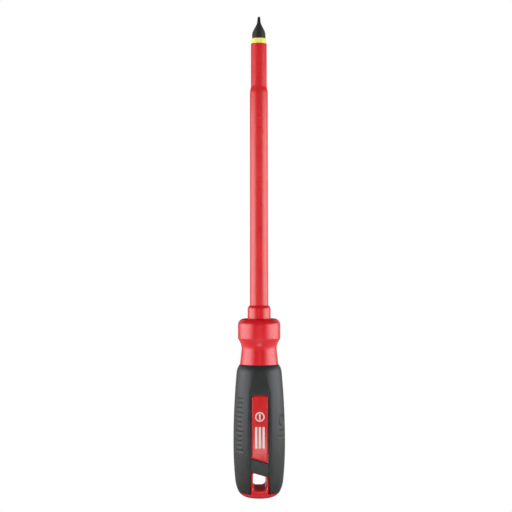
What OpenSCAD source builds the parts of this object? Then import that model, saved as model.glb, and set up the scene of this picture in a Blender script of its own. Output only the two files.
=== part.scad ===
// Insulated slotted screwdriver, standing on its butt with the blade up.
// The tool's axis is +Z, z = 0 is the flat of the butt, and the badge with the slanted foot faces -Y.

/* [Tool] */
// Overall length from the butt to the end of the blade
tool_length = 339.5; // [330:0.5:400]

/* [Blade] */
// Diameter of the round steel shank, and so the width of the cabinet tip
shank_d = 9.525; // [9:0.005:9.6]
// Thickness of the tip at its very end
tip_thickness = 1.6; // [1.2:0.1:1.8]
// Length of the nearly parallel end of the tip
tip_land = 4.9; // [2:0.1:6]
// Thickness where that parallel end runs into the flanks
land_thickness = 2.7; // [1.9:0.1:2.8]
// Length of the ground flanks below it
flank_length = 5.6; // [5:0.1:12]
// Height of the tail end of the steel above the butt
tail_z = 42; // [40:0.5:48]
// Span across the two wings pressed out of the tail
wing_span = 14; // [11:0.5:15]

/* [Insulation] */
// Steel left bare at the tip
bare_length = 14.8; // [12:0.1:15]
// Outer radius of the inner layer
inner_r = 5.15; // [5.05:0.01:5.25]
// Length of inner layer that shows in front of the outer one
inner_show = 3.6; // [2:0.1:6]
// Outer radius of the slim front stretch of the outer layer
nose_r = 5.64; // [5.5:0.01:5.8]
// Length of that slim front stretch
nose_length = 28.5; // [20:0.1:40]
// Length of the step between the slim and the full stretch
step_length = 7.6; // [6:0.1:12]
// Outer radius of the full stretch
sleeve_r = 6.37; // [6.2:0.01:6.45]
// Outer radius at the handle, where the moulding is thickest
root_r = 6.52; // [6.5:0.01:6.7]
// Height at which the full stretch starts to thicken towards the handle
taper_z = 200; // [170:1:203]
// Depth of the marks sunk in the outer layer
mark_depth = 0.3; // [0.1:0.05:0.4]

/* [Ferrule and guard] */
// Radius of the collar in front of the guard
ferrule_r = 8.17; // [7.8:0.01:9]
// Length of that collar
ferrule_length = 10.05; // [8:0.05:12]
// Height of the guard's front face
guard_z = 126.35; // [125:0.05:130]
// Radius of the guard
guard_r = 15.05; // [14.5:0.05:16]
// Rounding of the guard's front edge
guard_round = 4.5; // [2:0.1:4.6]
// Height where the guard's straight side ends
guard_back_z = 112.5; // [111:0.1:115]

/* [Neck and butt] */
// Height of the narrowest place of the neck
waist_z = 107; // [105:0.1:108]
// Radius of the neck's cone and the guard's chamfer where they would meet there
waist_r = 12.2; // [11.8:0.1:12.6]
// Radius of the neck where the grip starts
neck_r = 13.6; // [13.4:0.1:14]
// Rounding of the butt
butt_round = 9; // [8.5:0.1:10]

/* [Grip] */
// Height of the grip's lower end
grip_low_z = 3.7; // [3.5:0.1:4.5]
// Height of the grip's upper end
grip_high_z = 94.1; // [92:0.1:96]
// Largest radius of the grip
belly_r = 18.3; // [18:0.1:19]
// Height of that largest radius
belly_z = 38; // [34:1:42]
// Thickness of the soft grip over the hard body
grip_wall = 2.7; // [2.4:0.1:3]
// Half the width of the channel along the front and back
channel_half = 7; // [6.6:0.1:7.2]
// Distance of the channel's floor from the axis
channel_y = 15.6; // [15.4:0.1:15.8]

/* [Badges] */
// Half the width of a badge
badge_half = 5.55; // [5.2:0.05:5.8]
// Height of the middle of its curved head
badge_head_z = 73.3; // [70:0.1:76]
// Radius of that curved head
badge_head_r = 22; // [14:0.5:30]
// Height of the middle of its slanted foot
badge_foot_z = 27.9; // [27:0.1:32]
// Distance of the badge's face from the axis
badge_y = 16; // [15.8:0.1:16.4]
// Slant of the badge's foot and of the top of the lanyard hole
slant = 17; // [12:1:19]

/* [Lanyard hole] */
// Half the width of the hole
hole_half = 4.8; // [4.4:0.05:5]
// Height of the hole's floor
hole_low_z = 6.6; // [6.2:0.1:7.5]
// Height of the middle of the hole's slanted top
hole_high_z = 17.6; // [17:0.1:18.5]
// Rounding of the hole's lower corners
hole_round = 3; // [1:0.1:4]

/* [Hidden] */
$fn = 96;
gap = 0.02;                                  // between two parts that touch
over = 1;                                    // how far a cut runs past what it cuts
shank_r = shank_d / 2;
land_z = tool_length - tip_land;
flank_round = 5;                             // where the flanks run into the end of the tip
flank_z = land_z - flank_length;
wing_low_z = tail_z + 4;
wing_length = 16;
wing_thick = 3;
inner_top_z = tool_length - bare_length;
inner_low_z = wing_low_z + wing_length + 4;
outer_top_z = inner_top_z - inner_show;
outer_low_z = inner_low_z + 20;
step_top_z = outer_top_z - nose_length;
step_low_z = step_top_z - step_length;
step_round = 6;
soft_edge = 0.25;                            // rounding of the ends of both layers
core_low_z = tail_z - 6;
core_high_z = 100;
core_r = 9.5;
rib_count = 6;
rib_width = 2.6;
rib_height = 1.2;
rib_low_z = core_low_z + 6;
rib_high_z = core_high_z - 16;
ferrule_round = 3.4;
ferrule_z = guard_z + ferrule_length;
guard_back_round = 1.5;
waist_round = 10;
stub_r = 10;                                 // joins the neck to the turned part under the grip
seat_y = channel_y - 1.7;                    // flat of the hard body under the badges
land_half = channel_half - 0.8;              // raised lands of the hard body round the hole
land_y = channel_y - 0.6;
window_half = channel_half + 0.1;
window_rise = 0.6;                           // from the top of the hole to the top of the window
badge_gap = 0.35;
groove_width = channel_half - badge_half - badge_gap + 0.1;
groove_depth = 0.5;                          // below the channel's floor, along both its sides
peg_r = 1.5;
peg_length = 2.5;
peg_places = [40, 62];
front_curve = 552;                           // radius of the barrel in front of the belly
rear_curve = 262;                            // and behind it
shoulder_curve = 10;
heel_curve = 24;
shoulder_length = 5.6;                       // lengths that these two roundings take up
heel_length = 8.8;

// Radius of the barrel at height z, before its ends are rounded
function barrel(z) = belly_r - pow(z - belly_z, 2) / (z > belly_z ? 2 * front_curve : 2 * rear_curve);

// Radius at height z of an end rounding of radius r that touches the barrel at height t
function end_round(z, t, r) =
    let (curve = t > belly_z ? front_curve : rear_curve, lean = asin((t - belly_z) / curve))
    barrel(t) - r * cos(lean) + sqrt(max(0, r * r - pow(z - t + r * sin(lean), 2)));

// Radius of the finished grip at height z
function grip_r(z) =
    z > grip_high_z - shoulder_length ? end_round(z, grip_high_z - shoulder_length, shoulder_curve)
    : z < grip_low_z + heel_length ? end_round(z, grip_low_z + heel_length, heel_curve)
    : barrel(z);

// Heights along the grip up to and past the belly, closer together at its ends
low_steps = 12;
high_steps = 16;
grip_heights = concat(
    [for (i = [0 : low_steps - 1]) belly_z - (belly_z - grip_low_z) * sin(90 - 90 * i / low_steps)],
    [for (i = [0 : high_steps]) belly_z + (grip_high_z - belly_z) * sin(90 * i / high_steps)]
);

function unit(v) = v / norm(v);

// One corner p = [x, y, radius] of an outline, rounded between its neighbours a and b
function corner(a, p, b) =
    p[2] == 0 ? [[p.x, p.y]] :
    let (
        at = [p.x, p.y],
        u = unit([a.x, a.y] - at),
        v = unit([b.x, b.y] - at),
        half = acos(u * v) / 2,
        mid = at + unit(u + v) * p[2] / sin(half),
        from = at + u * p[2] / tan(half) - mid,
        to = at + v * p[2] / tan(half) - mid,
        start = atan2(from.y, from.x),
        turn = atan2(from.x * to.y - from.y * to.x, from * to),
        steps = ceil(abs(turn) / 12)
    )
    [for (i = [0 : steps]) mid + p[2] * [cos(start + turn * i / steps), sin(start + turn * i / steps)]];

// An outline from corners [x, y, radius]
function outline(p) = [for (i = [0 : len(p) - 1]) each corner(p[(i + len(p) - 1) % len(p)], p[i], p[(i + 1) % len(p)])];

// Turned shape of the grip's outside, moved inwards by inset and made longer at both ends
module barrel_form(inset, longer = 0) {
    low_r = grip_r(grip_low_z) - inset;
    high_r = grip_r(grip_high_z) - inset;
    rotate_extrude()
        polygon(concat(
            [[0, grip_low_z - longer], [low_r, grip_low_z - longer]],
            [for (z = grip_heights) [grip_r(z) - inset, z]],
            [[high_r, grip_high_z + longer], [0, grip_high_z + longer]]
        ));
}

// Everything nearer to the axis than y, in front and behind
module slab(y) {
    translate([-belly_r - over, -y, 0])
        cube([2 * (belly_r + over), 2 * y, tool_length]);
}

// Extrudes an outline drawn in X and Z through the whole handle, or from y1 to y2 on the front
module through(y1 = -belly_r - over, y2 = belly_r + over) {
    translate([0, y2, 0])
        rotate([90, 0, 0])
            linear_extrude(y2 - y1)
                children();
}

// Half plane below a line through height z that falls to the right
module below_slant(z) {
    translate([0, z])
        rotate(-slant)
            translate([-60, -120])
                square([120, 120]);
}

// The two wings that stop the blade from turning or pulling out
module wings(grow) {
    translate([-wing_span / 2 - grow, -wing_thick / 2 - grow, wing_low_z - grow])
        cube([wing_span + 2 * grow, wing_thick + 2 * grow, wing_length + 2 * grow]);
}

// Outside of the hard core, with the ribs that key it into the body
module core_form(grow) {
    translate([0, 0, core_low_z - grow])
        cylinder(r = core_r + grow, h = core_high_z - core_low_z + 2 * grow);
    for (i = [0 : rib_count - 1])
        rotate(i * 360 / rib_count)
            translate([0, -rib_width / 2 - grow, rib_low_z - grow])
                cube([core_r + rib_height + grow, rib_width + 2 * grow, rib_high_z - rib_low_z + 2 * grow]);
}

// Outline of a badge, grown all round
module badge_outline(grow) {
    half = badge_half + grow;
    head_mid_z = badge_head_z - badge_head_r;
    difference() {
        intersection() {
            translate([-half, 0])
                square([2 * half, badge_head_z + grow]);
            union() {
                translate([0, head_mid_z])
                    circle(r = badge_head_r + grow);
                translate([-half, 0])
                    square([2 * half, head_mid_z]);
            }
        }
        below_slant(badge_foot_z - grow);
    }
}

// Outline of the lanyard hole
module hole_outline() {
    rise = hole_half * tan(slant);
    polygon(outline([
        [-hole_half, hole_low_z, hole_round],
        [hole_half, hole_low_z, hole_round],
        [hole_half, hole_high_z - rise, 0.8],
        [-hole_half, hole_high_z + rise, 0.8]
    ]));
}

// Outline of the opening that the grip leaves round the lanyard hole, down to the butt
module window_outline(half, top_z) {
    intersection() {
        translate([-half, 0])
            square([2 * half, top_z + channel_half]);
        below_slant(top_z);
    }
}

// The channel in front, with a groove along each side of its floor
module channel() {
    translate([-channel_half, channel_y, 0])
        cube([2 * channel_half, belly_r, tool_length]);
    for (x = [-channel_half, channel_half - groove_width])
        translate([x, channel_y - groove_depth, 0])
            cube([groove_width, belly_r, tool_length]);
}

// Snap pegs of the front badge
module badge_pegs(grow) {
    for (z = peg_places)
        translate([0, -seat_y - over, z])
            rotate([-90, 0, 0])
                cylinder(r = peg_r + grow, h = over + peg_length + grow);
}

// Turned outside of the neck, guard and ferrule
module front_form() {
    rotate_extrude()
        polygon(outline([
            [0, grip_high_z - over, 0],
            [stub_r, grip_high_z - over, 0],
            [stub_r, grip_high_z, 0],
            [neck_r, grip_high_z, 0],
            [waist_r, waist_z, waist_round],
            [guard_r, guard_back_z, guard_back_round],
            [guard_r, guard_z, guard_round],
            [ferrule_r, guard_z, 0],
            [ferrule_r, ferrule_z, ferrule_round],
            [0, ferrule_z, 0]
        ]));
}

// Turned outside of the butt, flat in the middle
module butt_form() {
    sweep = acos(1 - grip_low_z / butt_round);
    foot_r = grip_r(grip_low_z) - butt_round * sin(sweep);
    steps = 6;
    rotate_extrude()
        polygon(concat(
            [[0, 0]],
            [for (a = [0 : sweep / steps : sweep + 0.01]) [foot_r + butt_round * sin(a), butt_round * (1 - cos(a))]],
            [[0, grip_low_z]]
        ));
}

module blade() {
    color([0.16, 0.16, 0.16]) {
        intersection() {
            translate([0, 0, tail_z])
                cylinder(r = shank_r, h = tool_length - tail_z);
            through()
                polygon(outline([
                    [-shank_r - over, tail_z - over, 0],
                    [shank_r + over, tail_z - over, 0],
                    [shank_r + over, flank_z - 2 * over, 0],
                    [land_thickness / 2, land_z, flank_round],
                    [tip_thickness / 2, tool_length, 0],
                    [-tip_thickness / 2, tool_length, 0],
                    [-land_thickness / 2, land_z, flank_round],
                    [-shank_r - over, flank_z - 2 * over, 0]
                ]));
        }
        wings(0);
    }
}

module inner_sleeve() {
    color([0.98, 0.9, 0.42])
        rotate_extrude()
            polygon(outline([
                [shank_r + gap, inner_low_z, 0],
                [inner_r, inner_low_z, 0],
                [inner_r, inner_top_z, soft_edge / 2],
                [shank_r + gap, inner_top_z, 0]
            ]));
}

// Two rows of plain bars sunk in the front of the sleeve
module sleeve_marks() {
    first_bars = [206, 258];
    bar_counts = [8, 5];
    pitch = 2.8;
    bar_length = 1.3;
    difference() {
        for (row = [0, 1], i = [0 : bar_counts[row] - 1])
            let (width = i % 3 == 0 ? 5.2 : 3.2)
                translate([-width / 2, -sleeve_r - over, first_bars[row] + i * pitch])
                    cube([width, sleeve_r, bar_length]);
        cylinder(r = sleeve_r - mark_depth, h = tool_length);
    }
}

module outer_sleeve() {
    bend = step_length * 0.28;
    color([0.83, 0.2, 0.23])
        difference() {
            rotate_extrude()
                polygon(outline([
                    [inner_r + gap, outer_low_z, 0],
                    [root_r, outer_low_z, 0],
                    [root_r, ferrule_z, 0],
                    [sleeve_r, taper_z, 0],
                    [sleeve_r, step_low_z + bend, step_round],
                    [nose_r, step_top_z - bend, step_round],
                    [nose_r, outer_top_z, soft_edge],
                    [inner_r + gap, outer_top_z, 0]
                ]));
            sleeve_marks();
        }
}

module handle_core() {
    color([0.75, 0.74, 0.7])
        difference() {
            core_form(0);
            wings(gap);
            translate([0, 0, tail_z - gap])
                cylinder(r = shank_r + gap, h = core_high_z);
            translate([0, 0, inner_low_z - gap])
                cylinder(r = inner_r + gap, h = core_high_z);
            translate([0, 0, outer_low_z - gap])
                cylinder(r = root_r + gap, h = core_high_z);
        }
}

module handle_body() {
    color([0.84, 0.15, 0.2])
        difference() {
            union() {
                butt_form();
                front_form();
                intersection() {
                    barrel_form(grip_wall);
                    slab(seat_y);
                }
                intersection() {
                    barrel_form(0);
                    slab(land_y);
                    through()
                        window_outline(land_half, hole_high_z + window_rise);
                }
            }
            through()
                hole_outline();
            core_form(gap);
            translate([0, 0, core_high_z])
                cylinder(r = root_r + gap, h = tool_length);
            for (side = [0, 1])
                mirror([0, side, 0])
                    badge_pegs(gap);
        }
}

module grip() {
    color([0.25, 0.26, 0.27])
        difference() {
            barrel_form(0);
            intersection() {
                barrel_form(grip_wall - gap, over);
                slab(seat_y + gap);
            }
            for (side = [0, 1])
                mirror([0, side, 0])
                    channel();
            through()
                badge_outline(badge_gap);
            through()
                window_outline(window_half, hole_high_z + window_rise + gap);
        }
}

module front_badge() {
    color([0.82, 0.17, 0.19]) {
        through(-badge_y, -seat_y - gap)
            badge_outline(0);
        intersection() {
            badge_pegs(0);
            slab(seat_y + badge_gap);
        }
    }
}

module rear_badge() {
    mirror([0, 1, 0])
        front_badge();
}

blade();
inner_sleeve();
outer_sleeve();
handle_core();
handle_body();
grip();
front_badge();
rear_badge();
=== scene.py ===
import math
import bpy
import bmesh
import numpy as np
import openvdb
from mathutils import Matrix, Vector


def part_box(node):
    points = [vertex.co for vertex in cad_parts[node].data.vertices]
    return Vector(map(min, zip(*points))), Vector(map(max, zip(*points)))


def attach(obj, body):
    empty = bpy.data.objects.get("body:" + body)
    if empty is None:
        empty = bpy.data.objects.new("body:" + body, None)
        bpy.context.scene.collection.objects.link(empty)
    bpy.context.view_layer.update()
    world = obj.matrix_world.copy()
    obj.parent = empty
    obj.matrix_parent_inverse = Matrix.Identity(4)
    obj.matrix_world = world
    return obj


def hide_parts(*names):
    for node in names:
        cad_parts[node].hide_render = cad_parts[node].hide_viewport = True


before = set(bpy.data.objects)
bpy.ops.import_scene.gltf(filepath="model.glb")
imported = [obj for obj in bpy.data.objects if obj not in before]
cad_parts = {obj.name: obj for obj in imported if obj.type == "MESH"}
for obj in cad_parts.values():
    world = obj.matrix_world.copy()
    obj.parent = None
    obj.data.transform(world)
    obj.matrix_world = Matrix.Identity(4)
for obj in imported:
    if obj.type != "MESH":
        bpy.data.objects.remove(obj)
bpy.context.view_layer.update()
scene = bpy.context.scene
mm = 0.001  # sizes below are in mm, objects are in metres


def span(node):  # lowest and highest corner of a CAD node, in mm
    low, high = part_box(node)
    return low / mm, high / mm


bladeLow, bladeHigh = span("blade")
innerLow, innerHigh = span("inner_sleeve")
outerLow, outerHigh = span("outer_sleeve")
bodyHigh = span("handle_body")[1]
gripLow, gripHigh = span("grip")
print("frame loaded,", len(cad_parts), "nodes")


# small helpers for outlines and meshes

weldDistance = 1e-7  # in metres
clear = 99  # further out than anything on the tool


def smooth(low, high, value):
    t = np.clip((value - low) / (high - low), 0, 1)
    return t * t * (3 - 2 * t)


def softMin(a, b, width):
    h = np.maximum(width - np.abs(a - b), 0) / width
    return np.minimum(a, b) - h * h * width / 4


def softMax(a, b, width):
    return -softMin(-a, -b, width)


def roundedOutline(corners, stepDeg=10, closed=True):  # corners are (x, y, radius)
    points = []
    for i, (x, y, radius) in enumerate(corners):
        at = np.array((x, y))
        if radius == 0 or (not closed and i in (0, len(corners) - 1)):
            points.append(at)
            continue
        u = np.array(corners[i - 1][:2]) - at
        v = np.array(corners[(i + 1) % len(corners)][:2]) - at
        u, v = u / np.linalg.norm(u), v / np.linalg.norm(v)
        half = math.acos(np.clip(u @ v, -1, 1)) / 2
        middle = at + (u + v) / np.linalg.norm(u + v) * radius / math.sin(half)
        start = at + u * radius / math.tan(half) - middle
        end = at + v * radius / math.tan(half) - middle
        first = math.atan2(start[1], start[0])
        turn = math.atan2(start[0] * end[1] - start[1] * end[0], start @ end)
        steps = max(2, math.ceil(abs(math.degrees(turn)) / stepDeg))
        for k in range(steps + 1):
            angle = first + turn * k / steps
            points.append(middle + radius * np.array((math.cos(angle), math.sin(angle))))
    return points


def addMesh(name, points, faces, sharpDeg=38):
    mesh = bpy.data.meshes.new(name)
    mesh.from_pydata((np.asarray(points) * mm).tolist(), [], [tuple(map(int, f)) for f in faces])
    cleaner = bmesh.new()
    cleaner.from_mesh(mesh)
    bmesh.ops.remove_doubles(cleaner, verts=cleaner.verts, dist=weldDistance)
    bmesh.ops.dissolve_degenerate(cleaner, edges=cleaner.edges, dist=weldDistance)
    bmesh.ops.recalc_face_normals(cleaner, faces=cleaner.faces)
    cleaner.to_mesh(mesh)
    cleaner.free()
    mesh.polygons.foreach_set("use_smooth", [True] * len(mesh.polygons))
    mesh.set_sharp_from_angle(angle=math.radians(sharpDeg))
    mesh.update()
    piece = bpy.data.objects.new(name, mesh)
    scene.collection.objects.link(piece)
    return piece


def loftFaces(rings, sides, closed):  # quads between rings of equal length
    faces = []
    for i in range(rings if closed else rings - 1):
        j = (i + 1) % rings
        for k in range(sides):
            n = (k + 1) % sides
            faces.append((i * sides + k, i * sides + n, j * sides + n, j * sides + k))
    return faces


def turned(name, outline, sides=144, flatY=None):  # outline is a closed list of (radius, z)
    angles = np.arange(sides) * 2 * math.pi / sides
    points = []
    for radius, z in outline:
        for angle in angles:
            y = -radius * math.cos(angle)
            if flatY is not None:
                y = np.clip(y, -flatY(z), flatY(z))
            points.append((radius * math.sin(angle), y, z))
    return addMesh(name, points, loftFaces(len(outline), sides, True))


# blade: round bar ground to a slotted tip, thin along X and wide along Y

blade = {
    "tipHalf": 0.8, "landHalf": 1.35, "landLength": 4.9, "flankLength": 5.6, "flankRound": 5,
    "edge": 0.16, "wingThick": 1.5, "wingLow": 4, "wingLength": 16, "wingStep": 0.05,
    "tailBevel": 0.4, "tipBevel": ((0.12, 0.015), (0.04, 0.06), (0, 0.16)),  # below the tip, and how far in
    "barRows": 24, "tipRows": 56, "faceColumns": 7, "sideColumns": 20, "leastCorner": 5.0, "cornerGap": 1.2,
}


def makeBlade(b):
    radius = bladeHigh.y
    tipZ, tailZ = bladeHigh.z, bladeLow.z
    landZ = tipZ - b["landLength"]
    flankZ = landZ - b["flankLength"]
    side = roundedOutline([
        (radius + 1, flankZ - 2, 0), (b["landHalf"], landZ, b["flankRound"]), (b["tipHalf"], tipZ, 0),
    ], 3, closed=False)
    sideZ = [p[1] for p in side]
    sideX = [p[0] for p in side]
    wingZ = tailZ + b["wingLow"]
    wingTop = wingZ + b["wingLength"]
    heights = [tailZ, tailZ + b["tailBevel"], wingZ, wingZ + b["wingStep"], wingTop - b["wingStep"], wingTop]
    heights += list(np.linspace(wingTop + 1, flankZ - 1.5, b["barRows"]))
    heights += list(np.linspace(flankZ - 1.2, tipZ - 0.25, b["tipRows"]))
    insets = {tailZ: b["tailBevel"]}
    for below, inset in b["tipBevel"]:
        heights.append(tipZ - below)
        insets[tipZ - below] = inset
    gap = b["cornerGap"]
    rows = []
    for z in heights:
        inset = insets.get(z, 0)
        half = np.interp(z, sideZ, sideX) if z > flankZ - 1.9 else radius + 2
        cut = math.degrees(math.acos(min(1, half / radius)))
        corner = max(cut, b["leastCorner"])  # angle where the flat meets the round side
        quarter = [corner * k / b["faceColumns"] for k in range(b["faceColumns"])]
        quarter += [corner - gap, corner, corner + gap]
        quarter += [
            corner + gap + (90 - corner - gap) * k / b["sideColumns"] for k in range(1, b["sideColumns"] + 1)
        ]
        quarter = np.radians(sorted(quarter))
        winged = wingZ < z < wingTop
        ring = []
        for a in quarter:
            r = softMin(radius, half / max(math.cos(a), 1e-3), b["edge"] / math.sin(max(a, 0.2)))
            if winged:
                r = max(r, min(bladeHigh.x / max(math.cos(a), 1e-3), b["wingThick"] / max(math.sin(a), 1e-3)))
            ring.append((math.cos(a) * (r - inset), math.sin(a) * (r - inset)))
        whole = ring + [(-x, y) for x, y in ring[-2::-1]]
        whole += [(x, -y) for x, y in whole[-2:0:-1]]
        rows.append([(x, y, z) for x, y in whole])
    sides = len(rows[0])
    faces = loftFaces(len(rows), sides, False)
    faces += [tuple(range(sides)), tuple(range((len(rows) - 1) * sides, len(rows) * sides))]
    return addMesh("steel_blade", [p for row in rows for p in row], faces, 30)


# the two insulation layers

layers = {
    "fit": 0.02, "noseR": 5.64, "noseLength": 28.5, "stepLength": 7.6, "fullR": 6.37, "taperZ": 200,
    "stepRound": 9, "edge": 0.3, "boreEdges": (0.05, 0.1), "bendShare": 0.28, "columnDeg": 3,
    "markDepth": 0.3, "markPitch": 2.8, "markLength": 1.3, "markRows": ((206, 8), (258, 5)),
    "markHalves": (2.6, 1.6), "markEdge": 0.07,
}


def makeInnerSleeve(s):
    bore = bladeHigh.y + s["fit"]
    edge = s["edge"] / 2
    return turned("yellow_layer", roundedOutline([
        (bore, innerLow.z, 0), (innerHigh.x, innerLow.z, 0),
        (innerHigh.x, innerHigh.z, edge), (bore, innerHigh.z, s["boreEdges"][0]),
    ]))


def makeOuterSleeve(s):
    bore = innerHigh.x + s["fit"]
    stepTop = outerHigh.z - s["noseLength"]
    stepLow = stepTop - s["stepLength"]
    bend = s["stepLength"] * s["bendShare"]
    outline = roundedOutline([
        (bore, outerLow.z, 0), (outerHigh.x, outerLow.z, 0),
        (outerHigh.x, bodyHigh.z, 0), (s["fullR"], s["taperZ"], 0),
        (s["fullR"], stepLow + bend, s["stepRound"]), (s["noseR"], stepTop - bend, s["stepRound"]),
        (s["noseR"], outerHigh.z, s["edge"]), (bore, outerHigh.z, s["boreEdges"][1]),
    ], 2.5)
    bars = []
    for first, count in s["markRows"]:
        for i in range(count):
            low = first + i * s["markPitch"]
            bars.append((low, low + s["markLength"], s["markHalves"][0 if i % 3 == 0 else 1]))
    e = s["markEdge"]
    cuts = [z for low, high, half in bars for z in (low - e, low + e, high - e, high + e)]
    start = next(i for i, p in enumerate(outline) if abs(p[1] - s["taperZ"]) < 1e-6)
    outline = outline[:start + 1] + [np.array((s["fullR"], z)) for z in sorted(cuts)] + outline[start + 1:]
    angles = [i * math.radians(s["columnDeg"]) for i in range(360 // s["columnDeg"])]
    lines = []  # a column on each side of every mark's edge
    for half in s["markHalves"]:
        for d in (-e, e):
            lines += [side * math.asin((half + d) / s["fullR"]) % (2 * math.pi) for side in (-1, 1)]
    angles = sorted([a for a in angles if min(abs(a - line) for line in lines) > 0.012] + lines)
    points = []
    for r, z in outline:
        for a in angles:
            depth = 0
            across = abs(math.sin(a)) * r if math.cos(a) > 0 else clear
            for low, high, half in bars:
                if r > s["fullR"] - 0.01 and low < z < high and across < half:
                    depth = s["markDepth"]
            points.append(((r - depth) * math.sin(a), -(r - depth) * math.cos(a), z))
    return addMesh("red_sleeve", points, loftFaces(len(outline), len(angles), True), 35)


# outside of the handle: the barrel of the grip, with the same curves as the CAD

barrel = {
    "bellyZ": 38, "frontCurve": 552, "rearCurve": 262,
    "shoulder": 10, "heel": 24, "shoulderLength": 5.6, "heelLength": 8.8,
}


def barrelR(z):
    curve = barrel["frontCurve"] if z > barrel["bellyZ"] else barrel["rearCurve"]
    return gripHigh.x - (z - barrel["bellyZ"]) ** 2 / (2 * curve)


def endRound(z, touch, r):
    curve = barrel["frontCurve"] if touch > barrel["bellyZ"] else barrel["rearCurve"]
    lean = math.asin((touch - barrel["bellyZ"]) / curve)
    drop = r * r - (z - touch + r * math.sin(lean)) ** 2
    return barrelR(touch) - r * math.cos(lean) + math.sqrt(max(0, drop))


def gripR(z):
    shoulderZ = gripHigh.z - barrel["shoulderLength"]
    heelZ = gripLow.z + barrel["heelLength"]
    if z > shoulderZ:
        return endRound(z, shoulderZ, barrel["shoulder"])
    if z < heelZ:
        return endRound(z, heelZ, barrel["heel"])
    return barrelR(z)


# hard body: turned neck, guard and ferrule, and the butt with its hole

body = {
    "wall": 2.7, "seatY": 13.9, "splitZ": 24, "coreR": 9.52, "coreLow": 36, "coreHigh": 100.02, "boreR": 6.54,
    "neckR": 13.6, "waistZ": 107, "waistR": 12.2, "waistRound": 10,
    "guardBackZ": 112.5, "guardBackRound": 1.5,
    "guardR": 15.05, "guardZ": 126.35, "guardRound": 4.5, "ferruleR": 8.17, "ferruleRound": 3.4,
    "buttRound": 9, "landY": 15.0, "landHalf": 6.15, "landRound": 1.8, "windowZ": 18.2, "slantDeg": 17,
    "holeHalf": 4.8, "holeLow": 6.6, "holeHigh": 17.6, "holeRound": 3, "holeTopRound": 0.8,
    "bevel": 0.95, "bevelBelow": 1.2, "landBlend": 0.9, "cutBlend": 0.3, "bevelBlend": 0.25,
    "lip": 0.15, "ferruleFillet": 0.35, "bedRows": 30, "sides": 160, "voxel": 0.25, "margins": (1, 1.5),
}


def makeFront(b):
    bedZ = np.linspace(b["splitZ"], gripHigh.z - 0.05, b["bedRows"])
    bed = [(gripR(z) - b["wall"], z) for z in bedZ]
    ferruleTop = bodyHigh.z + 0.5
    outer = roundedOutline([
        (bed[-1][0], gripHigh.z, 0), (b["neckR"] - b["lip"], gripHigh.z, 0),
        (b["neckR"], gripHigh.z + b["lip"], 0),
        (b["waistR"], b["waistZ"], b["waistRound"]), (b["guardR"], b["guardBackZ"], b["guardBackRound"]),
        (b["guardR"], b["guardZ"], b["guardRound"]), (b["ferruleR"], b["guardZ"], b["ferruleFillet"]),
        (b["ferruleR"], ferruleTop, b["ferruleRound"]), (0, ferruleTop, 0),
    ], 4, closed=False)
    collar = [p for p in outer if p[1] < b["guardZ"] + 1 or p[0] > b["boreR"]]
    bore = [(b["boreR"], collar[-1][1]), (b["boreR"], b["coreHigh"])]
    bore += [(b["coreR"], b["coreHigh"]), (b["coreR"], b["coreLow"]), (0, b["coreLow"]), (0, b["splitZ"])]

    def seatY(z):
        return b["seatY"] if z < gripHigh.z else clear

    return turned("neck_and_guard", bed + collar + bore, b["sides"], seatY)


def outlineDistance(outline, x, z):  # signed distance to a closed polygon, negative inside
    best = np.full(x.shape, np.inf)
    inside = np.zeros(x.shape, bool)
    for i in range(len(outline)):
        a, c = np.array(outline[i - 1]), np.array(outline[i])
        edge = c - a
        t = np.clip(((x - a[0]) * edge[0] + (z - a[1]) * edge[1]) / (edge @ edge + 1e-12), 0, 1)
        best = np.minimum(best, np.hypot(x - a[0] - t * edge[0], z - a[1] - t * edge[1]))
        crosses = (a[1] > z) != (c[1] > z)
        inside ^= crosses & (x < a[0] + (z - a[1]) * edge[0] / (edge[1] if edge[1] else 1e-12))
    return np.where(inside, -best, best)


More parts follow.
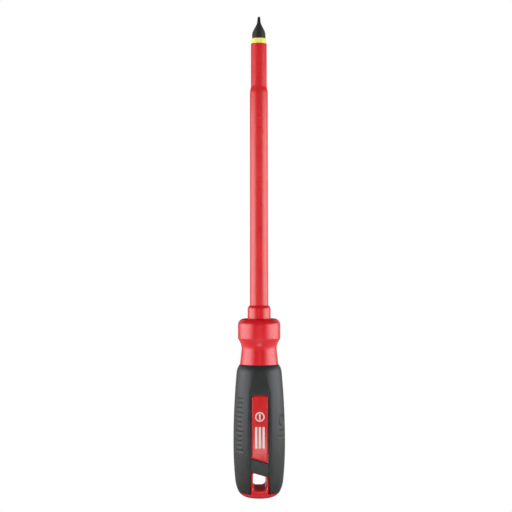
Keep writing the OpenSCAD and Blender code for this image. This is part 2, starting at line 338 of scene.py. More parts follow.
def makeButt(b):
    step = b["voxel"]
    reach, depth = gripHigh.x + b["margins"][0], b["margins"][1]
    low = np.array((-reach, -reach, -depth))
    count = [int(2 * reach / step) + 1] * 2 + [int((b["splitZ"] + 2 * depth) / step) + 1]
    xs, ys, zs = [low[i] + step * np.arange(count[i]) for i in range(3)]
    x, y, z = np.meshgrid(xs, ys, zs, indexing="ij")
    rho = np.hypot(x, y)
    radii = np.array([gripR(max(h, gripLow.z)) for h in zs])[None, None, :]
    lean = np.cos(np.arctan(np.gradient(radii[0, 0], step)))[None, None, :]
    sweep = math.acos(1 - gripLow.z / b["buttRound"])
    footR = gripR(gripLow.z) - b["buttRound"] * math.sin(sweep)
    foot = np.hypot(rho - footR, z - b["buttRound"]) - b["buttRound"]
    dome = np.where(rho > footR, foot, -z)
    dome = np.where(z > gripLow.z, (rho - radii) * lean, dome)
    slant = math.radians(b["slantDeg"])
    underSlant = (z - b["windowZ"]) * math.cos(slant) + x * math.sin(slant)
    land = softMax(dome, np.abs(y) - b["landY"], b["landBlend"])
    window = softMax(np.abs(x) - b["landHalf"], underSlant, b["cutBlend"])
    land = softMax(land, window, b["landRound"])
    bed = np.maximum((rho - radii + b["wall"]) * lean, np.abs(y) - b["seatY"])
    bed = np.maximum(bed, dome)
    cap = np.maximum(dome, z - gripLow.z)
    solid = np.minimum(np.minimum(cap, land), bed)
    rise = b["holeHalf"] * math.tan(slant)
    hole = roundedOutline([
        (-b["holeHalf"], b["holeLow"], b["holeRound"]), (b["holeHalf"], b["holeLow"], b["holeRound"]),
        (b["holeHalf"], b["holeHigh"] - rise, b["holeTopRound"]),
        (-b["holeHalf"], b["holeHigh"] + rise, b["holeTopRound"]),
    ], 12)
    holeX, holeZ = np.meshgrid(xs, zs, indexing="ij")
    away = outlineDistance(hole, holeX, holeZ)[:, None, :]
    bevelled = (np.maximum(dome, np.abs(y) - b["landY"]) - away + b["bevel"]) * 0.7071  # at 45 degrees
    bevelled = np.where(underSlant > -b["bevelBelow"], -clear, bevelled)
    cut = softMax(solid, np.broadcast_to(-away, solid.shape), b["cutBlend"])
    cut = softMax(cut, bevelled, b["bevelBlend"])
    cut = np.maximum(cut, z - b["splitZ"])
    grid = openvdb.FloatGrid()
    grid.copyFromArray(cut.astype(np.float32))
    points, quads = grid.convertToQuads(0.0)
    points = points * step + low
    points[:, 2] = np.clip(points[:, 2], 0, b["splitZ"])
    return addMesh("butt_end", points, quads, 50)


# soft grip: an outer and an inner surface on one grid, with windows left open in it

grip = {
    "channelY": 15.6, "channelHalf": 7, "innerGap": 0.02, "stripHalf": 5.9, "grooveDepth": 0.5,
    "bottomRound": 0.15, "topRound": 1.3, "lobeStart": 1.75, "headZ": 73.65, "headR": 22.35, "footZ": 27.53,
    "windowZ": 18.22, "plainZ": 86, "landY": 14.9, "blend": 0.35, "edgeRound": 0.35, "windowEdge": 0.3,
    "floorXs": (0, 1.3, 2.6, 3.9, 5.0, 5.6, 5.8), "wallSteps": 14, "lobeColumns": 60,
    "rowPitch": 0.38, "plainPitch": 0.8, "endRows": (0.12, 0.35), "floorDrop": 0.22,
    "grooveX": (0, 0.05, 0.11, 0.18), "grooveFall": (0, 0.12, 0.85, 1),  # steps over the strip's edge
}


def circleY(x, r):
    return math.sqrt(max(r * r - x * x, 0))


relief = {  # plain shapes sunk in the two front lobes; an arc is measured round the lobe from the front
    "radius": 18, "edge": 0.2, "leftDepth": 0.32, "rightDepth": 0.45,
    "barCount": 12, "barZ": 33.5, "barPitch": 3.3, "barHeight": 1.4, "barArc": 16.5, "barHalves": (3.8, 2.8),
    "ovalArc": 18.8, "ovalZ": 55.0, "ovalHalf": (4.0, 4.3), "ovalBand": (0.72, 1.0), "ovalEdge": 0.09,
    "rightBars": (43.2, 47.0), "rightBarHeight": 1.6, "rightBarArcs": (15.4, 22.2),
}


def inBand(value, low, high, edge):
    return smooth(low - edge, low + edge, value) * (1 - smooth(high - edge, high + edge, value))


def reliefDepth(angle, z):  # angle in degrees from the front, right positive
    r = relief
    arc = math.radians(abs(angle)) * r["radius"]

    def bar(low, height, arcLow, arcHigh):
        return float(inBand(z, low, low + height, r["edge"]) * inBand(arc, arcLow, arcHigh, r["edge"]))

    if angle < 0:  # a column of short bars
        depth = 0.0
        for i in range(r["barCount"]):
            half = r["barHalves"][0 if i % 4 == 0 else 1]
            low = r["barZ"] + i * r["barPitch"]
            depth += bar(low, r["barHeight"], r["barArc"] - half, r["barArc"] + half)
        return r["leftDepth"] * min(depth, 1)
    ring = math.hypot((arc - r["ovalArc"]) / r["ovalHalf"][0], (z - r["ovalZ"]) / r["ovalHalf"][1])
    depth = float(inBand(ring, *r["ovalBand"], r["ovalEdge"]))
    depth += sum(bar(low, r["rightBarHeight"], *r["rightBarArcs"]) for low in r["rightBars"])
    return r["rightDepth"] * min(depth, 1)


# one point of the front right quarter: on the channel's floor, on its wall or on the lobe
def gripPoint(g, kind, value, z, opened, side, inner, drop):
    wallX = g["channelHalf"]
    full = gripR(z)
    ends = min(z - gripLow.z, gripHigh.z - z)
    bite = g["edgeRound"]
    if ends < bite:
        full -= bite - math.sqrt(bite * bite - (bite - ends) ** 2)
    deep = gripR(z) - body["wall"] + g["innerGap"]
    seat = body["seatY"] + g["innerGap"]
    start = math.asin((wallX + g["lobeStart"]) / full)
    if kind == "lobe":
        angle = start + (math.pi / 2 - start) * value
        if inner:
            return deep * math.sin(angle), min(deep * math.cos(angle), seat)
        r = full - (reliefDepth(math.degrees(angle) * side, z) if side else 0)
        return r * math.sin(angle), r * math.cos(angle)
    edgeY = circleY(wallX, full)
    level = g["channelY"] + (min(g["landY"], edgeY - 1.0) - g["channelY"]) * opened
    if kind == "floor":
        y = float(softMin(circleY(value, full), level, g["blend"])) - drop
        return (value, min(circleY(value, deep), seat)) if inner else (value, y)
    stripX = g["stripHalf"] + (wallX - g["blend"] - g["stripHalf"]) * opened
    stripY = float(softMin(circleY(stripX, full), level, g["blend"]))
    base = level - g["grooveDepth"] * (1 - opened)
    height = max(edgeY - base, 0.01)
    weight = float(smooth(0.05, 0.9, height))  # the wall fades out where the barrel narrows to the channel
    x = stripX + (wallX + g["topRound"] - stripX) * value / (g["wallSteps"] - 1)
    plain = (x, float(softMin(circleY(x, full), level, g["blend"])))
    low = min(g["bottomRound"], 0.2 * height)
    top = min(g["topRound"], 0.6 * height)
    slope = math.asin(wallX / full)
    half = (math.pi / 2 - slope) / 2
    tangent = top / math.tan(half)
    first, last = len(g["grooveX"]), len(g["grooveX"]) + 3
    if value < first:  # over the edge of the strip and down into the groove
        wall = (stripX + g["grooveX"][value], stripY + min(base - stripY, 0) * g["grooveFall"][value])
    elif value < last:  # the round at the foot of the wall
        turn = (value - first) * math.pi / 4
        wall = (wallX - low + low * math.sin(turn), base + low - low * math.cos(turn))
    else:  # up the wall and over onto the lobe
        turn = (value - last) / (g["wallSteps"] - last - 1) * (math.pi / 2 + slope)
        wall = (wallX + top - top * math.cos(turn), edgeY - tangent + top * math.sin(turn))
    x = plain[0] + (wall[0] - plain[0]) * weight
    y = plain[1] + (wall[1] - plain[1]) * weight
    return (x, min(circleY(x, deep), seat)) if inner else (x, y)


def makeGrip(g):
    quarter = [("floor", x) for x in g["floorXs"]] + [("wall", k) for k in range(g["wallSteps"])]
    quarter += [("lobe", k / g["lobeColumns"]) for k in range(1, g["lobeColumns"] + 1)]
    right = [(kind, value, 1) for kind, value in quarter]
    right += [(kind, value, -1) for kind, value in quarter[-2::-1]]
    ring = [(kind, value, front, 1) for kind, value, front in right]
    ring += [(kind, value, front, -1) for kind, value, front in right[-2:0:-1]]
    tilt = math.tan(math.radians(body["slantDeg"]))

    def bend(key, x, fade):  # how far a key row is moved along the tool at x, for its slant or its arc
        x = max(-g["channelHalf"], min(g["channelHalf"], x))
        if key in (1, 2):
            return -x * tilt * fade
        if key == 3:
            return (circleY(x, g["headR"]) - g["headR"]) * fade
        return 0

    keys = [gripLow.z, g["windowZ"], g["footZ"], g["headZ"], g["plainZ"], gripHigh.z]
    rows = []  # (key below, share of the way to the next, drop of the floor's edge)
    for k in range(5):
        length = keys[k + 1] - keys[k]
        pitch = g["rowPitch"] if k == 2 else g["plainPitch"]
        inner = list(np.linspace(0, 1, round(length / pitch) + 1))[1:-1]
        near = [e / length for e in (g["endRows"] if k == 0 else (g["windowEdge"],))]
        far = [1 - e / length for e in (g["endRows"][::-1] if k == 4 else (g["windowEdge"],))]
        between = [s for s in inner if near[-1] * 1.5 < s < 1 - (1 - far[0]) * 1.5]
        for s in [0.0] + near + between + far:
            rows.append((k, s, g["floorDrop"] if s == 0 and k in (1, 2, 3) else 0))
    rows.append((4, 1.0, 0))

    def corner(k, s, drop, column, inner):
        kind, value, front, hand = column
        nominal, fade = (value if kind == "floor" else 6.5), 1
        if kind == "lobe":  # the slants die out round the lobe
            nominal, fade = g["channelHalf"], 1 - smooth(0, 0.55, value)
        low = keys[k] + bend(k, nominal * hand, fade)
        high = keys[k + 1] + bend(k + 1, nominal * hand, fade)
        z = float(low + (high - low) * s)
        opened = float(1 - smooth(0.94, 1, s)) if k == 0 else 0
        x, y = gripPoint(g, kind, value, z, opened, hand if front > 0 else 0, inner, drop)
        return x * hand, -y * front, z

    outer = [corner(k, s, drop, column, False) for k, s, drop in rows for column in ring]
    inner = [corner(k, s, drop, column, True) for k, s, drop in rows for column in ring]
    across, along = len(ring), len(rows)
    total = across * along
    floorColumn = [column[0] == "floor" or column[:2] == ("wall", 0) for column in ring]
    keep = np.ones((along - 1, across), bool)
    for r in range(along - 1):
        if rows[r][0] in (0, 2):
            for c in range(across):
                keep[r, c] = not (floorColumn[c] and floorColumn[(c + 1) % across])
    faces = []
    for r in range(along - 1):
        for c in range(across):
            if not keep[r, c]:
                continue
            n = (c + 1) % across
            quad = (r * across + c, r * across + n, (r + 1) * across + n, (r + 1) * across + c)
            faces.append(quad)
            faces.append(tuple(total + i for i in quad[::-1]))
            sides = (
                (quad[0], quad[1], r == 0 or not keep[r - 1, c]),
                (quad[3], quad[2], r == along - 2 or not keep[r + 1, c]),
                (quad[0], quad[3], not keep[r, c - 1]),
                (quad[1], quad[2], not keep[r, n]),
            )
            faces += [(a, b, total + b, total + a) for a, b, border in sides if border]
    return addMesh("soft_grip", outer + inner, faces, 45)


# badges: bevelled panels in the channel, with a plain print

badge = {
    "half": 5.55, "headZ": 73.3, "headR": 22, "footZ": 27.9, "cornerRound": 1.2, "backY": 13.92,
    "bevel": ((0, 15.35), (0.05, 15.6), (0.18, 15.8), (0.4, 15.93), (0.7, 16.0)),
    "arcShare": 0.7, "arcSteps": 15, "printHeight": 0.05,
}


def badgeOutline(b):
    rise = b["half"] * math.tan(math.radians(body["slantDeg"]))
    head = b["headZ"] - b["headR"]
    sweep = math.asin(b["half"] / b["headR"])
    reach = sweep * b["arcShare"]  # the rest is left for the rounded corners
    turns = np.linspace(reach, -reach, b["arcSteps"])
    arc = [(b["headR"] * math.sin(a), head + b["headR"] * math.cos(a)) for a in turns]
    shoulder = head + b["headR"] * math.cos(sweep)
    half, turn = b["half"], b["cornerRound"]
    corners = [(-half, b["footZ"] + rise, turn), (half, b["footZ"] - rise, turn), (half, shoulder, turn)]
    corners += [(x, z, 0) for x, z in arc] + [(-half, shoulder, turn)]
    return roundedOutline(corners, 15)


def inwards(outline, distance):  # moves a closed counter-clockwise outline towards its middle
    moved = []
    for i, p in enumerate(outline):
        u = outline[i] - outline[i - 1]
        v = outline[(i + 1) % len(outline)] - outline[i]
        n = np.array((-u[1], u[0])) / np.linalg.norm(u) + np.array((-v[1], v[0])) / np.linalg.norm(v)
        n = n / np.linalg.norm(n)
        moved.append(p + n * distance)
    return moved


def makeBadge(name, b, front):
    outline = badgeOutline(b)
    points, rings = [], [(0, b["backY"])] + list(b["bevel"])
    for inset, y in rings:
        points += [(p[0], -y * front, p[1]) for p in inwards(outline, inset)]
    sides = len(outline)
    faces = loftFaces(len(rings), sides, False)
    faces += [tuple(range(sides)), tuple(range((len(rings) - 1) * sides, len(rings) * sides))]
    return addMesh(name, points, faces, 30)


printShapes = {
    "ring": ((0, 58.5), 3.3, 2.5), "ringSides": 64, "slot": (1.0, 3.8),  # slot width and length
    "barXs": (-2.6, 0.0, 2.6), "barZ": (36.5, 51.5), "barHalf": 0.75, "barRound": 0.6,
}


def makePrint(name, b, p, front):  # a ring with a slot over three plain bars
    low, high = b["bevel"][-1][1], b["bevel"][-1][1] + b["printHeight"]
    points, faces = [], []

    def plate(outline):
        start = len(points)
        points.extend((x, -y * front, z) for y in (low, high) for x, z in outline)
        n = len(outline)
        faces.append(tuple(range(start, start + n)))
        faces.append(tuple(range(start + n, start + 2 * n)))
        for k in range(n):
            j = (k + 1) % n
            faces.append((start + k, start + j, start + n + j, start + n + k))

    (cx, cz), outerR, innerR = p["ring"]
    sides = p["ringSides"]
    turns = [2 * math.pi * k / sides for k in range(sides)]
    start = len(points)
    for y in (low, high):
        for r in (outerR, innerR):
            points.extend((cx + r * math.cos(t), -y * front, cz + r * math.sin(t)) for t in turns)
    for k in range(sides):
        n = (k + 1) % sides
        for a, c in ((0, sides), (sides, 3 * sides), (3 * sides, 2 * sides), (2 * sides, 0)):
            faces.append((start + a + k, start + a + n, start + c + n, start + c + k))
    half, length = p["slot"][0] / 2, p["slot"][1] / 2
    plate([(cx + h * half, cz + v * length) for h, v in ((-1, -1), (1, -1), (1, 1), (-1, 1))])
    z0, z1 = p["barZ"]
    for x in p["barXs"]:
        w = p["barHalf"]
        r = w * p["barRound"]
        plate(roundedOutline([(x - w, z0, r), (x + w, z0, r), (x + w, z1, r), (x - w, z1, r)], 30))
    return addMesh(name, points, faces, 30)


bladePiece = makeBlade(blade)
yellowPiece = makeInnerSleeve(layers)
sleevePiece = makeOuterSleeve(layers)
print("blade and insulation made")
frontPiece = makeFront(body)
buttPiece = makeButt(body)
print("hard body made,", len(buttPiece.data.polygons), "faces in the butt")
gripPiece = makeGrip(grip)
print("grip made,", len(gripPiece.data.polygons), "faces")
sideNames = (("front", 1), ("rear", -1))
badgePieces = [makeBadge(side + "_panel", badge, front) for side, front in sideNames]
printPieces = [makePrint(side + "_print", badge, printShapes, front) for side, front in sideNames]
print("badges made")


# node groups that several materials share

def newGroup(name, inputs, outputs):
    group = bpy.data.node_groups.new(name, "ShaderNodeTree")
    for label, kind, value in inputs:
        socket = group.interface.new_socket(name=label, in_out="INPUT", socket_type=kind)
        socket.default_value = value
    for label in outputs:
        group.interface.new_socket(name=label, in_out="OUTPUT", socket_type="NodeSocketFloat")
    return group, group.nodes.new("NodeGroupInput"), group.nodes.new("NodeGroupOutput")


def addNode(tree, kind, links=(), **settings):  # links are (input, source) pairs
    node = tree.nodes.new(kind)
    for key, value in settings.items():
        setattr(node, key, value)
    for socket, source in dict(links).items():
        if isinstance(source, bpy.types.NodeSocket):
            tree.links.new(source, node.inputs[socket])
        else:
            node.inputs[socket].default_value = source
    return node


def mathNode(tree, operation, first, second):
    return addNode(tree, "ShaderNodeMath", {0: first, 1: second}, operation=operation).outputs[0]


def scaledVector(tree, vector, scale):
    return addNode(tree, "ShaderNodeVectorMath", {0: vector, 1: scale}, operation="MULTIPLY").outputs[0]


def noiseNode(tree, vector, scale, detail=2.0, roughness=0.5):
    links = {"Vector": vector, "Scale": scale, "Detail": detail, "Roughness": roughness}
    return addNode(tree, "ShaderNodeTexNoise", links).outputs["Fac"]


def rangeNode(tree, value, fromLow, fromHigh, toLow, toHigh):
    links = {"Value": value, "From Min": fromLow, "From Max": fromHigh, "To Min": toLow, "To Max": toHigh}
    return addNode(tree, "ShaderNodeMapRange", links).outputs["Result"]


def mixNode(tree, factor, low, high):
    return addNode(tree, "ShaderNodeMix", {0: factor, 6: low, 7: high}, data_type="RGBA").outputs[2]


floatSocket, vectorSocket = "NodeSocketFloat", "NodeSocketVector"


def makeMouldedSkin():  # fine tool grain over a slower ripple, with uneven colour and gloss
    group, given, result = newGroup("mouldedSkin", [
        ("Vector", vectorSocket, (0, 0, 0)), ("Grain Scale", floatSocket, 5000.0),
        ("Ripple Scale", floatSocket, 350.0), ("Grain Share", floatSocket, 0.5),
        ("Patch Scale", floatSocket, 60.0),
    ], ["Height", "Mottle", "Gloss"])
    place = given.outputs["Vector"]
    grain = noiseNode(group, place, given.outputs["Grain Scale"], 3.0, 0.6)
    ripple = noiseNode(group, place, given.outputs["Ripple Scale"], 1.0, 0.4)
    patches = noiseNode(group, place, given.outputs["Patch Scale"], 4.0, 0.55)
    grained = mathNode(group, "MULTIPLY", grain, given.outputs["Grain Share"])
    group.links.new(mathNode(group, "ADD", grained, ripple), result.inputs["Height"])
    group.links.new(rangeNode(group, patches, 0.3, 0.7, 0, 1), result.inputs["Mottle"])
    grains, blotches = mathNode(group, "MULTIPLY", grain, 0.6), mathNode(group, "MULTIPLY", patches, 0.8)
    speckle = mathNode(group, "ADD", grains, blotches)
    group.links.new(rangeNode(group, speckle, 0.45, 0.95, 0, 1), result.inputs["Gloss"])
    return group


def makeEdgeWear():  # where corners rub, broken up with noise
    group, given, result = newGroup("edgeWear", [
        ("Vector", vectorSocket, (0, 0, 0)), ("Start", floatSocket, 0.53), ("End", floatSocket, 0.62),
        ("Breakup Scale", floatSocket, 900.0),
    ], ["Mask"])
    pointed = addNode(group, "ShaderNodeNewGeometry").outputs["Pointiness"]
    edge = rangeNode(group, pointed, given.outputs["Start"], given.outputs["End"], 0, 1)
    breakup = noiseNode(group, given.outputs["Vector"], given.outputs["Breakup Scale"], 5.0, 0.6)
    broken = rangeNode(group, breakup, 0.35, 0.6, 0, 1)
    group.links.new(mathNode(group, "MULTIPLY", edge, broken), result.inputs["Mask"])
    return group


def makeFineLines():  # long thin marks along the stretched direction
    group, given, result = newGroup("fineLines", [
        ("Vector", vectorSocket, (0, 0, 0)), ("Stretch", vectorSocket, (1, 1, 0.03)),
        ("Scale", floatSocket, 3000.0), ("Cover Scale", floatSocket, 120.0), ("Threshold", floatSocket, 0.6),
    ], ["Mask"])
    pulled = scaledVector(group, given.outputs["Vector"], given.outputs["Stretch"])
    lines = noiseNode(group, pulled, given.outputs["Scale"], 3.0, 0.7)
    cover = noiseNode(group, given.outputs["Vector"], given.outputs["Cover Scale"], 2.0, 0.5)
    start = given.outputs["Threshold"]
    sharp = rangeNode(group, lines, start, mathNode(group, "ADD", start, 0.08), 0, 1)
    mask = mathNode(group, "MULTIPLY", sharp, rangeNode(group, cover, 0.4, 0.6, 0, 1))
    group.links.new(mask, result.inputs["Mask"])
    return group


mouldedSkin = makeMouldedSkin()
edgeWear = makeEdgeWear()
fineLines = makeFineLines()


def useGroup(tree, group, values):
    node = tree.nodes.new("ShaderNodeGroup")
    node.node_tree = group
    for label, value in values.items():
        if isinstance(value, bpy.types.NodeSocket):
            tree.links.new(value, node.inputs[label])
        else:
            node.inputs[label].default_value = value
    return node


# materials

def newMaterial(name, sockets):
    material = bpy.data.materials.new(name)
    material.use_nodes = True
    shader = material.node_tree.nodes["Principled BSDF"]
    for label, value in sockets.items():
        shader.inputs[label].default_value = value
    return material, material.node_tree, shader


def colour(red, green, blue):
    return (red, green, blue, 1.0)


def mouldedMaterial(name, m):
    material, tree, shader = newMaterial(name, m["sockets"])
    place = addNode(tree, "ShaderNodeTexCoord").outputs["Object"]
    skin = useGroup(tree, mouldedSkin, {"Vector": place, **m["skin"]})
    worn = useGroup(tree, edgeWear, {"Vector": place, **m["wear"]})
    rubbed = useGroup(tree, fineLines, {"Vector": place, **m["lines"]})
    base = mixNode(tree, skin.outputs["Mottle"], m["deep"], m["light"])
    base = mixNode(tree, mathNode(tree, "MULTIPLY", worn.outputs["Mask"], m["wearShare"]), base, m["worn"])
    tree.links.new(base, shader.inputs["Base Color"])
    rough = rangeNode(tree, skin.outputs["Gloss"], 0, 1, *m["rough"])
    rough = mathNode(tree, "ADD", rough, mathNode(tree, "MULTIPLY", rubbed.outputs["Mask"], m["lineRough"]))
    tree.links.new(rough, shader.inputs["Roughness"])
    scratches = mathNode(tree, "MULTIPLY", rubbed.outputs["Mask"], m["lineDepth"])
    height = mathNode(tree, "SUBTRACT", skin.outputs["Height"], scratches)
    bump = addNode(tree, "ShaderNodeBump", {"Height": height, "Strength": 1.0, "Distance": m["depth"] * mm})
    tree.links.new(bump.outputs["Normal"], shader.inputs["Normal"])
    return material


sleeveFinish = {
    "sockets": {"IOR": 1.6, "Specular IOR Level": 0.5},
    "skin": {"Grain Scale": 6000.0, "Ripple Scale": 260.0, "Grain Share": 0.12, "Patch Scale": 70.0},
    "wear": {"Start": 0.53, "End": 0.6, "Breakup Scale": 700.0}, "wearShare": 0.25,
    "lines": {"Stretch": (1, 1, 0.02), "Scale": 2600.0, "Threshold": 0.62},
    "lineRough": 0.12, "lineDepth": 0.15,
    "deep": colour(0.70, 0.018, 0.023), "light": colour(0.78, 0.026, 0.032), "worn": colour(0.80, 0.16, 0.15),
    "rough": (0.26, 0.36), "depth": 0.03,
}
handleFinish = {
    "sockets": {"IOR": 1.6, "Specular IOR Level": 0.5},
    "skin": {"Grain Scale": 5200.0, "Ripple Scale": 220.0, "Grain Share": 0.1, "Patch Scale": 55.0},
    "wear": {"Start": 0.53, "End": 0.62, "Breakup Scale": 800.0}, "wearShare": 0.2,
    "lines": {"Stretch": (0.3, 0.3, 0.06), "Scale": 5000.0, "Threshold": 0.66},
    "lineRough": 0.1, "lineDepth": 0.1,
    "deep": colour(0.72, 0.010, 0.018), "light": colour(0.78, 0.016, 0.026), "worn": colour(0.85, 0.15, 0.14),
    "rough": (0.18, 0.27), "depth": 0.025,
}
badgeFinish = {
    "sockets": {"IOR": 1.55, "Specular IOR Level": 0.5},
    "skin": {"Grain Scale": 4200.0, "Ripple Scale": 900.0, "Grain Share": 0.8, "Patch Scale": 90.0},
    "wear": {"Start": 0.52, "End": 0.6, "Breakup Scale": 900.0}, "wearShare": 0.25,
    "lines": {"Stretch": (0.5, 0.5, 0.08), "Scale": 5000.0, "Threshold": 0.66},
    "lineRough": 0.1, "lineDepth": 0.3,
    "deep": colour(0.64, 0.008, 0.010), "light": colour(0.70, 0.011, 0.014), "worn": colour(0.8, 0.16, 0.15),
    "rough": (0.18, 0.27), "depth": 0.008,
}
yellowFinish = {
    "sockets": {"IOR": 1.5, "Specular IOR Level": 0.5},
    "skin": {"Grain Scale": 5000.0, "Ripple Scale": 500.0, "Grain Share": 0.3, "Patch Scale": 150.0},
    "wear": {"Start": 0.53, "End": 0.62, "Breakup Scale": 900.0}, "wearShare": 0.3,
    "lines": {"Stretch": (1, 1, 0.05), "Scale": 3000.0, "Threshold": 0.64},
    "lineRough": 0.1, "lineDepth": 0.2,
    "deep": colour(1.0, 0.92, 0.17), "light": colour(1.0, 0.98, 0.28), "worn": colour(0.98, 0.9, 0.5),
    "rough": (0.36, 0.46), "depth": 0.02,
}
rubberFinish = {
    "sockets": {"IOR": 1.5, "Specular IOR Level": 0.52, "Specular Tint": colour(0.94, 0.96, 1.0)},
    "skin": {"Grain Scale": 3600.0, "Ripple Scale": 1500.0, "Grain Share": 1.3, "Patch Scale": 45.0},
    "wear": {"Start": 0.51, "End": 0.6, "Breakup Scale": 700.0}, "wearShare": 0.5,
    "lines": {"Stretch": (0.4, 0.4, 0.06), "Scale": 5000.0, "Threshold": 0.64},
    "lineRough": 0.03, "lineDepth": 0.2,
    "deep": colour(0.019, 0.0205, 0.020), "light": colour(0.027, 0.029, 0.028),
    "worn": colour(0.075, 0.078, 0.076),
    "rough": (0.38, 0.5), "depth": 0.03,
}
coreFinish = {
    "sockets": {"IOR": 1.5, "Specular IOR Level": 0.5},
    "skin": {"Grain Scale": 4000.0, "Ripple Scale": 400.0, "Grain Share": 0.4, "Patch Scale": 80.0},
    "wear": {"Start": 0.53, "End": 0.62, "Breakup Scale": 800.0}, "wearShare": 0.2,
    "lines": {"Stretch": (0.3, 0.3, 0.06), "Scale": 5000.0, "Threshold": 0.64},
    "lineRough": 0.1, "lineDepth": 0.2,
    "deep": colour(0.50, 0.49, 0.45), "light": colour(0.60, 0.59, 0.55), "worn": colour(0.7, 0.69, 0.65),
    "rough": (0.4, 0.55), "depth": 0.03,
}
printFinish = {
    "sockets": {"IOR": 1.5, "Specular IOR Level": 0.5},
    "skin": {"Grain Scale": 9000.0, "Ripple Scale": 1400.0, "Grain Share": 0.8, "Patch Scale": 700.0},
    "wear": {"Start": 0.52, "End": 0.6, "Breakup Scale": 2500.0}, "wearShare": 0.3,
    "lines": {"Stretch": (0.5, 0.5, 0.1), "Scale": 6000.0, "Threshold": 0.64},
    "lineRough": 0.1, "lineDepth": 0.2,
    "deep": colour(0.78, 0.76, 0.75), "light": colour(0.88, 0.87, 0.86), "worn": colour(0.8, 0.55, 0.52),
    "rough": (0.42, 0.58), "depth": 0.012,
}
steelFinish = {
    "sockets": {"Metallic": 0.55}, "grindScale": (220.0, 220.0, 7000.0), "drawScale": (5200.0, 5200.0, 160.0),
    "deep": colour(0.036, 0.036, 0.037), "light": colour(0.058, 0.058, 0.06),
    "bare": colour(0.17, 0.17, 0.175),
    "rough": (0.34, 0.52), "depth": 0.02, "bareShare": 0.6,
    "groundFrom": 0.3275, "groundFade": 0.0012,  # height in metres where the grinding starts
    "skin": {"Grain Scale": 7000.0, "Ripple Scale": 900.0, "Patch Scale": 160.0},
    "wear": {"Start": 0.54, "End": 0.66, "Breakup Scale": 1800.0},
}


def steelMaterial(name, m):  # black oxide over a drawn bar, ground across the flats of the tip
    material, tree, shader = newMaterial(name, m["sockets"])
    place = addNode(tree, "ShaderNodeTexCoord").outputs["Object"]
    skin = useGroup(tree, mouldedSkin, {"Vector": place, **m["skin"]})
    worn = useGroup(tree, edgeWear, {"Vector": place, **m["wear"]})
    drawnLines = noiseNode(tree, scaledVector(tree, place, m["drawScale"]), 1.0, 3.0, 0.6)
    groundLines = noiseNode(tree, scaledVector(tree, place, m["grindScale"]), 1.0, 4.0, 0.65)
    facing = addNode(tree, "ShaderNodeNewGeometry").outputs["Normal"]
    facingX = addNode(tree, "ShaderNodeSeparateXYZ", {0: facing}).outputs[0]
    height = addNode(tree, "ShaderNodeSeparateXYZ", {0: place}).outputs[2]
    onFlat = rangeNode(tree, mathNode(tree, "ABSOLUTE", facingX, 0.0), 0.8, 0.9, 0, 1)
    onTip = rangeNode(tree, height, m["groundFrom"], m["groundFrom"] + m["groundFade"], 0, 1)
    onFlat = mathNode(tree, "MULTIPLY", onFlat, onTip)
    lines = mathNode(tree, "ADD", mathNode(tree, "MULTIPLY", groundLines, onFlat), drawnLines)
    base = mixNode(tree, skin.outputs["Mottle"], m["deep"], m["light"])
    base = mixNode(tree, mathNode(tree, "MULTIPLY", worn.outputs["Mask"], m["bareShare"]), base, m["bare"])
    tree.links.new(base, shader.inputs["Base Color"])
    tree.links.new(rangeNode(tree, lines, 0.3, 1.1, *m["rough"]), shader.inputs["Roughness"])
    bump = addNode(tree, "ShaderNodeBump", {"Height": lines, "Strength": 1.0, "Distance": m["depth"] * mm})
    tree.links.new(bump.outputs["Normal"], shader.inputs["Normal"])
    return material


def dress(piece, material, nodes=()):
    piece.data.materials.clear()
    piece.data.materials.append(material)
    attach(piece, "root")
    if nodes:
        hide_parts(*nodes)


blackSteel = steelMaterial("blackSteel", steelFinish)
yellowPlastic = mouldedMaterial("yellowPlastic", yellowFinish)
redSleeve = mouldedMaterial("redSleeve", sleeveFinish)
redPlastic = mouldedMaterial("redPlastic", handleFinish)
gripRubber = mouldedMaterial("gripRubber", rubberFinish)
badgePlastic = mouldedMaterial("badgePlastic", badgeFinish)
whitePrint = mouldedMaterial("whitePrint", printFinish)
corePlastic = mouldedMaterial("corePlastic", coreFinish)
dress(bladePiece, blackSteel, ["blade"])
dress(yellowPiece, yellowPlastic, ["inner_sleeve"])
dress(sleevePiece, redSleeve, ["outer_sleeve"])
dress(frontPiece, redPlastic, ["handle_body"])
dress(buttPiece, redPlastic, ["handle_body"])
dress(gripPiece, gripRubber, ["grip"])
for piece, node in zip(badgePieces, ("front_badge", "rear_badge")):
    dress(piece, badgePlastic, [node])
for piece in printPieces:
    dress(piece, whitePrint)
for slot in bpy.data.objects["handle_core"].material_slots:
    slot.material = corePlastic
print("materials made")


# camera, floor and lights

view = {
    "aimX": -2.15, "aimZ": 170.7, "turnDeg": 1.5, "rollDeg": 0.065,
    "distance": 950, "fieldWidth": 363.0, "sensor": 36, "clip": (0.01, 20),
}


def makeCamera(v):
    data = bpy.data.cameras.new("camera")
    data.sensor_width = v["sensor"]
    data.lens = data.sensor_width * v["distance"] / v["fieldWidth"]
    data.clip_start, data.clip_end = v["clip"]
    camera = bpy.data.objects.new("camera", data)
    scene.collection.objects.link(camera)
    turn = math.radians(v["turnDeg"])
    across, back = v["aimX"] * mm, v["distance"] * mm
    camera.location = (
        across * math.cos(turn) - back * math.sin(turn),
        -across * math.sin(turn) - back * math.cos(turn),
        v["aimZ"] * mm,
    )
    camera.rotation_euler = (math.radians(90), math.radians(v["rollDeg"]), -turn)
    scene.camera = camera


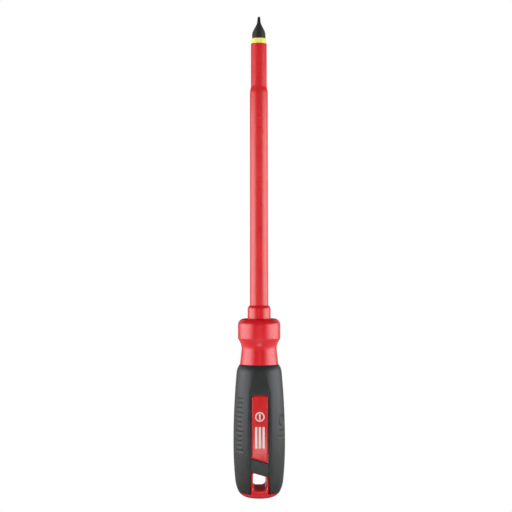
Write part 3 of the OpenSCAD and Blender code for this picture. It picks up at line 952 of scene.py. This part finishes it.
studio = {  # in metres, azimuths in degrees from the front
    "panels": (  # name, azimuth from and to, reach, low, high, radiance; one on each hand
        ("side", 54, 124, 0.6, 0.0, 0.36, 2.1),
        ("wide", 37, 106, 0.62, 0.0, 0.36, 1.75),
        ("rear", 128, 164, 1.0, 0.0, 0.9, 0.4),
    ),
    "aim": (0, 0, 0.16), "fillPower": 9.4, "fillPlace": (0, -1.7, 0.17), "fillSize": (0.9, 0.35),
    "backPower": 2.5, "backPlace": (0, 1.1, 1.1), "backSize": (0.9, 0.9),
    "spark": ((0, -0.112, 0.004), (0, 0, 0.11), 0.05, 0.03, 0.022),  # place, aim, width, height, power
    "floorSize": 12, "floor": colour(0.8, 0.8, 0.8), "room": 0.04, "backdrop": 1.0,
}


def makeFloor(s):
    bpy.ops.mesh.primitive_plane_add(size=s["floorSize"])
    floor = bpy.context.object
    floor.name = "floor"
    material, tree, shader = newMaterial("paleFloor", {"Base Color": s["floor"], "Roughness": 0.9})
    path = tree.nodes.new("ShaderNodeLightPath")
    white = addNode(tree, "ShaderNodeEmission", {"Color": colour(1, 1, 1), "Strength": s["backdrop"]})
    mix = addNode(tree, "ShaderNodeMixShader", {0: path.outputs["Is Camera Ray"]})
    tree.links.new(shader.outputs[0], mix.inputs[1])
    tree.links.new(white.outputs[0], mix.inputs[2])
    tree.links.new(mix.outputs[0], tree.nodes["Material Output"].inputs[0])
    floor.data.materials.append(material)


def areaLight(name, place, aim, width, height, power):
    data = bpy.data.lights.new(name, "AREA")
    data.shape = "RECTANGLE"
    data.size, data.size_y = width, height
    data.energy = power
    lamp = bpy.data.objects.new(name, data)
    scene.collection.objects.link(lamp)
    lamp.location = place
    lamp.rotation_euler = (Vector(aim) - Vector(place)).to_track_quat("-Z", "Y").to_euler()
    lamp.visible_camera = False
    return lamp


def makeLights(s):
    for name, start, end, reach, low, high, radiance in s["panels"]:
        middle, half = math.radians(start + end) / 2, math.radians(end - start) / 2
        width, height = 2 * reach * math.tan(half), high - low
        for hand, side in (("left", -1), ("right", 1)):
            place = (side * reach * math.sin(middle), -reach * math.cos(middle), (low + high) / 2)
            aim = (0, 0, (low + high) / 2)
            areaLight(hand + "_" + name, place, aim, width, height, math.pi * radiance * width * height)
    for name in ("fill", "back"):
        lamp = areaLight(name + "_light", s[name + "Place"], s["aim"], *s[name + "Size"], s[name + "Power"])
        lamp.visible_glossy = False
    spark = areaLight("low_spark", *s["spark"])
    spark.visible_diffuse = False


def makeWorld(s):
    world = bpy.data.worlds.new("studio")
    scene.world = world
    world.use_nodes = True
    tree = world.node_tree
    tree.nodes.clear()
    path = tree.nodes.new("ShaderNodeLightPath")
    backdrop = addNode(tree, "ShaderNodeBackground", {"Color": colour(1, 1, 1), "Strength": s["backdrop"]})
    room = addNode(tree, "ShaderNodeBackground", {"Color": colour(1, 1, 1), "Strength": s["room"]})
    mix = addNode(tree, "ShaderNodeMixShader", {0: path.outputs["Is Camera Ray"]})
    tree.links.new(room.outputs[0], mix.inputs[1])
    tree.links.new(backdrop.outputs[0], mix.inputs[2])
    output = tree.nodes.new("ShaderNodeOutputWorld")
    tree.links.new(mix.outputs[0], output.inputs[0])


makeCamera(view)
makeFloor(studio)
makeLights(studio)
makeWorld(studio)
scene.view_settings.view_transform = "Standard"
scene.view_settings.look = "None"
print("camera and studio made")
